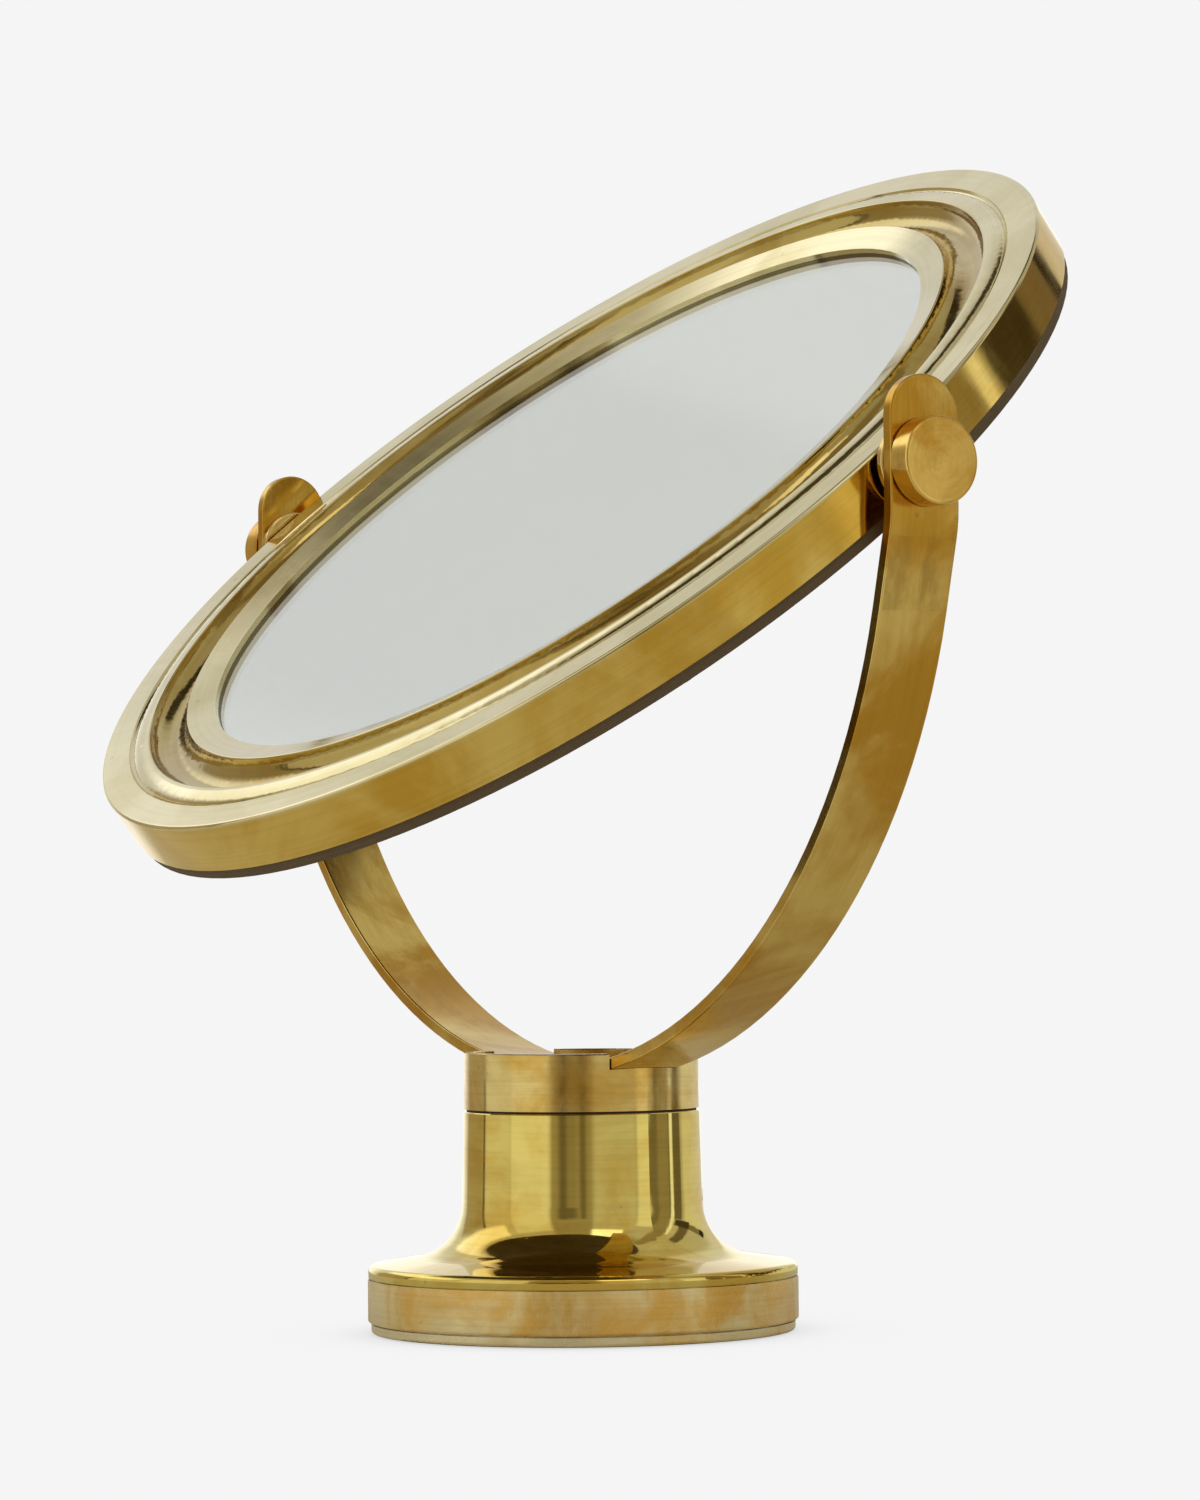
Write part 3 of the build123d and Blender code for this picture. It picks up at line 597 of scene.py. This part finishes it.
bpy.ops.object.mode_set(mode="OBJECT")
film_place = (
    Matrix.Translation(pivot)
    @ Matrix.Rotation(mirror_turn[0], 4, "X")
    @ Matrix.Translation((0.0, 0.0, glass_back + silver_gap))
)
film.data.transform(film_place)
film.data.materials.append(silver)
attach(film, "mirror_head")

# Soft sheet and bent wooden hoop between the glass and the board; neither can be seen
# once the board is on.
paper_pale = (0.50, 0.46, 0.38)
paper_dull = (0.42, 0.38, 0.30)
wood_pale = (0.52, 0.36, 0.20)
wood_dark = (0.32, 0.20, 0.10)
soft_paper = plain_metal("soft_paper", paper_pale, paper_dull, rough=0.8, metallic=0.0, grain=1500.0)
dress("cushion_sheet", soft_paper)
wood, tree, shader, here = new_finish("packing_wood", pivot, mirror_turn)
turned = place_group(tree, lathe_marks, Vector=here, Spacing=0.0012)
grain = spread(tree, turned["Lines"], 0.3, 0.7)
put(tree, shader.inputs["Base Color"], blend(tree, grain, wood_pale, wood_dark))
put(tree, shader.inputs["Normal"], relief(tree, turned["Lines"], 0.0001))
shader.inputs["Roughness"].default_value = 0.6
dress("packing_ring", wood)

# Back board: dark brown pressed board with a smooth face and a fibrous sawn edge. Its
# edge shows as a dark line behind the brass.
board_radius = 0.1988
sawn_fade = (0.0007, 0.0002)
board_dark = (0.045, 0.030, 0.018)
board_light = (0.115, 0.080, 0.045)
edge_light = (0.20, 0.145, 0.085)
board, tree, shader, here = new_finish("hardboard", pivot, mirror_turn)
turned = place_group(tree, lathe_marks, Vector=here, Spacing=0.0004)
strands = noise(tree, here, 1300.0, detail=6.0, rough=0.75, bent=0.8)
patches = noise(tree, here, 35.0, detail=4.0)
fibre_share = calculate(tree, "MULTIPLY", strands, spread(tree, patches, 0.3, 0.7, 0.85, 1.15))
fibre_share = spread(tree, fibre_share, 0.3, 0.75)
face = blend(tree, fibre_share, board_dark, board_light)
sawn = blend(tree, spread(tree, turned["Lines"], 0.35, 0.7), board_light, edge_light)
at_edge = spread(tree, turned["Radius"], board_radius - sawn_fade[0], board_radius - sawn_fade[1])
edge = blend(tree, fibre_share, board_light, sawn)
put(tree, shader.inputs["Base Color"], blend(tree, at_edge, face, edge))
put(tree, shader.inputs["Roughness"], spread(tree, at_edge, 0.0, 1.0, 0.5, 0.85))
put(tree, shader.inputs["Normal"], relief(tree, strands, 0.00012))
dress("back_board", board)

# Six round-headed slotted brass screws hold the board to lugs soldered in the ring.
board_back = -0.0124
board_screw_count = 6
board_screw_circle = 0.1906
first_board_screw = 30
slot_turn_step = 1.3
board_head_radius = 0.0036
head_depth = 0.0018
shank_radius = 0.00175
screw_length = 0.0128
dress("board_lugs", screw_brass)
round_headed = slotted("round_headed_pattern", board_head_radius, True)
for index in range(board_screw_count):
    around = radians(first_board_screw + 360 / board_screw_count * index)
    place = (
        Matrix.Translation(pivot)
        @ Matrix.Rotation(mirror_turn[0], 4, "X")
        @ Matrix.Rotation(around, 4, "Z")
        @ Matrix.Translation((board_screw_circle, 0.0, board_back - head_depth - head_clearance))
        @ Matrix.Rotation(pi, 4, "X")
        @ Matrix.Rotation(slot_turn_step * index, 4, "Z")
    )
    name = f"board_screw_{index + 1}"
    drive(round_headed, name, place, screw_brass, "mirror_head", "board_screws")
bpy.data.objects.remove(round_headed)

# Pivots: on each side a boss inside the ring holds a steel stud, which carries a turned
# brass spacer, the yoke's end, a thin fibre washer and the clamp knob.
axis_turn = (0.0, pi / 2, 0.0)
knob_clean = (0.84, 0.58, 0.16)
knob_stained = (0.66, 0.36, 0.05)
spacer_clean = (0.80, 0.62, 0.28)
spacer_stained = (0.66, 0.42, 0.14)
knob_brass = turned_brass(
    "knob_brass", knob_clean, knob_stained, cloud=34.0, cover=0.52, rough=0.18, place=pivot, turn=axis_turn
)
spacer_brass = turned_brass(
    "spacer_brass", spacer_clean, spacer_stained, cloud=30.0, rough=0.12, place=pivot, turn=axis_turn
)
for side in ("left", "right"):
    dress(f"{side}_pivot_boss", screw_brass)
    dress(f"{side}_stud", steel)
    dress(f"{side}_spacer", spacer_brass)
    dress(f"{side}_pivot_washer", fibre)
    dress(f"{side}_knob", knob_brass)

# Studio: a pale paper floor under a pale background, and the soft light of a white room
# with its darker doors and openings, which is what the polished brass shows.
background = 0.915
camera_azimuth = -33.64
room = (0.52, 0.48, 0.40)
studio_panel, given, wanted = new_group(
    "studio_panel",
    [
        ("Direction", "Vector"),
        ("Before", "Color"),
        ("Light", "Color"),
        ("Azimuth", "Float"),
        ("Half width", "Float"),
        ("Elevation", "Float"),
        ("Half height", "Float"),
        ("Soft", "Float"),
    ],
    [("Light", "Color")],
)
turn = studio_panel.nodes.new("ShaderNodeVectorRotate")
turn.rotation_type = "Z_AXIS"
put(studio_panel, turn.inputs["Vector"], given["Direction"])
turn_back = calculate(studio_panel, "MULTIPLY", given["Azimuth"], -1.0)
put(studio_panel, turn.inputs["Angle"], calculate(studio_panel, "RADIANS", turn_back))
parts_of = studio_panel.nodes.new("ShaderNodeSeparateXYZ")
put(studio_panel, parts_of.inputs["Vector"], turn.outputs["Vector"])
x, y, z = parts_of.outputs
azimuth = calculate(studio_panel, "DEGREES", calculate(studio_panel, "ARCTAN2", y, x))
azimuth = calculate(studio_panel, "ABSOLUTE", azimuth)
elevation = calculate(studio_panel, "DEGREES", calculate(studio_panel, "ARCSINE", z))
elevation = calculate(studio_panel, "SUBTRACT", elevation, given["Elevation"])
elevation = calculate(studio_panel, "ABSOLUTE", elevation)
masks = []
for away, half in ((azimuth, given["Half width"]), (elevation, given["Half height"])):
    outer = calculate(studio_panel, "ADD", half, given["Soft"])
    inner = calculate(studio_panel, "SUBTRACT", half, given["Soft"])
    masks.append(spread(studio_panel, away, outer, inner))
share = calculate(studio_panel, "MULTIPLY", *masks)
put(studio_panel, wanted["Light"], blend(studio_panel, share, given["Before"], given["Light"]))

world = bpy.data.worlds.new("studio")
bpy.context.scene.world = world
world.use_nodes = True
tree = world.node_tree
tree.nodes.clear()
direction = tree.nodes.new("ShaderNodeTexCoord").outputs["Generated"]
light = room
white = (1.0, 1.0, 1.0)
cool = (0.96, 0.98, 1.04)
cream = (1.0, 0.95, 0.80)
amber = (1.0, 0.82, 0.52)
panels = [
    # level, tint, azimuth from the camera, half width, elevation, half height, softness
    (0.32, amber, 0, 75, 74, 18, 6),
    (0.80, cool, -50, 45, 72, 14, 5),
    (0.74, white, 180, 42, 18, 28, 5),
    (1.15, white, 180, 26, 3, 13, 6),
    (0.72, cream, 140, 26, 0, 20, 2),
    (0.55, cream, 125, 30, 42, 20, 6),
    (0.30, amber, 84, 9, 30, 34, 2),
    (0.16, amber, 101, 9, -2, 18, 1.5),
    (0.16, amber, 114, 7, 33, 13, 2),
    (1.00, white, 96, 2, 10, 30, 1),
    (0.85, cream, 64, 9, 0, 32, 2),
    (0.20, amber, 75, 3, 0, 28, 1.5),
    (0.60, cream, 33, 20, 8, 34, 3),
    (1.60, white, 16, 28, 49, 8, 2),
    (0.36, amber, -10, 20, 16, 40, 3),
    (0.17, amber, -14, 9, 10, 9, 4),
    (0.16, amber, -18, 3.5, -2, 22, 3),
    (0.18, amber, 1, 3, 0, 20, 2.5),
    (0.85, cream, -52, 21, 8, 34, 3),
    (0.72, cream, -90, 17, 8, 34, 3),
    (0.14, amber, -109, 1.6, 0, 24, 0.7),
    (0.42, amber, -128, 17, 0, 20, 3),
    (1.35, white, -118, 36, 34, 9, 3),
    (0.05, amber, -148, 50, 56, 6, 1.5),
    (0.80, white, -170, 8, 35, 4.5, 0.5),
    (0.08, amber, -130, 22, 66, 8, 2),
    (0.03, amber, 141.5, 3.5, 20.6, 3, 0.5),
    (0.22, amber, 130, 8, 21.5, 3, 0.8),
    (0.06, amber, 111, 11, 20.5, 4, 0.8),
]
for level, tint, around, half_width, height, half_height, soft in panels:
    light = place_group(
        tree,
        studio_panel,
        Direction=direction,
        Before=light,
        Light=tuple(level * part for part in tint),
        Azimuth=camera_azimuth + around,
        Elevation=float(height),
        Soft=float(soft),
        **{"Half width": float(half_width), "Half height": float(half_height)},
    )["Light"]
seen = tree.nodes.new("ShaderNodeBackground")
seen.inputs["Color"].default_value = (background, background, background, 1.0)
around = tree.nodes.new("ShaderNodeBackground")
put(tree, around.inputs["Color"], light)
choice = tree.nodes.new("ShaderNodeMixShader")
put(tree, choice.inputs["Fac"], tree.nodes.new("ShaderNodeLightPath").outputs["Is Camera Ray"])
put(tree, choice.inputs[1], around.outputs["Background"])
put(tree, choice.inputs[2], seen.outputs["Background"])
put(tree, tree.nodes.new("ShaderNodeOutputWorld").inputs["Surface"], choice.outputs["Shader"])

paper_colour = (0.88, 0.85, 0.76)
paper_shadow = 0.72
paper_shadow_reach = 0.09
floor_size = 1.5
bpy.ops.object.select_all(action="DESELECT")
bpy.ops.mesh.primitive_plane_add(size=floor_size, location=(0.0, 0.0, 0.0))
floor = bpy.context.object
floor.name = "floor"
paper, tree, shader, here = new_finish("floor_paper")
put(tree, shader.inputs["Base Color"], paper_colour)
shader.inputs["Roughness"].default_value = 1.0
shader.inputs["Specular IOR Level"].default_value = 0.0
# Painted shadow: for camera rays the floor glows evenly at the background's level, and ambient occlusion
# darkens that glow near the object.
under = tree.nodes.new("ShaderNodeAmbientOcclusion")
under.samples = 12
under.inputs["Distance"].default_value = paper_shadow_reach
level = spread(tree, under.outputs["AO"], 0.0, 1.0, paper_shadow * background, background)
glow = tree.nodes.new("ShaderNodeEmission")
put(tree, glow.inputs["Strength"], level)
lit = tree.nodes.new("ShaderNodeMixShader")
put(tree, lit.inputs["Fac"], tree.nodes.new("ShaderNodeLightPath").outputs["Is Camera Ray"])
put(tree, lit.inputs[1], shader.outputs["BSDF"])
put(tree, lit.inputs[2], glow.outputs["Emission"])
put(tree, tree.nodes["Material Output"].inputs["Surface"], lit.outputs["Shader"])
floor.data.materials.append(paper)
bpy.context.scene.view_settings.view_transform = "Standard"
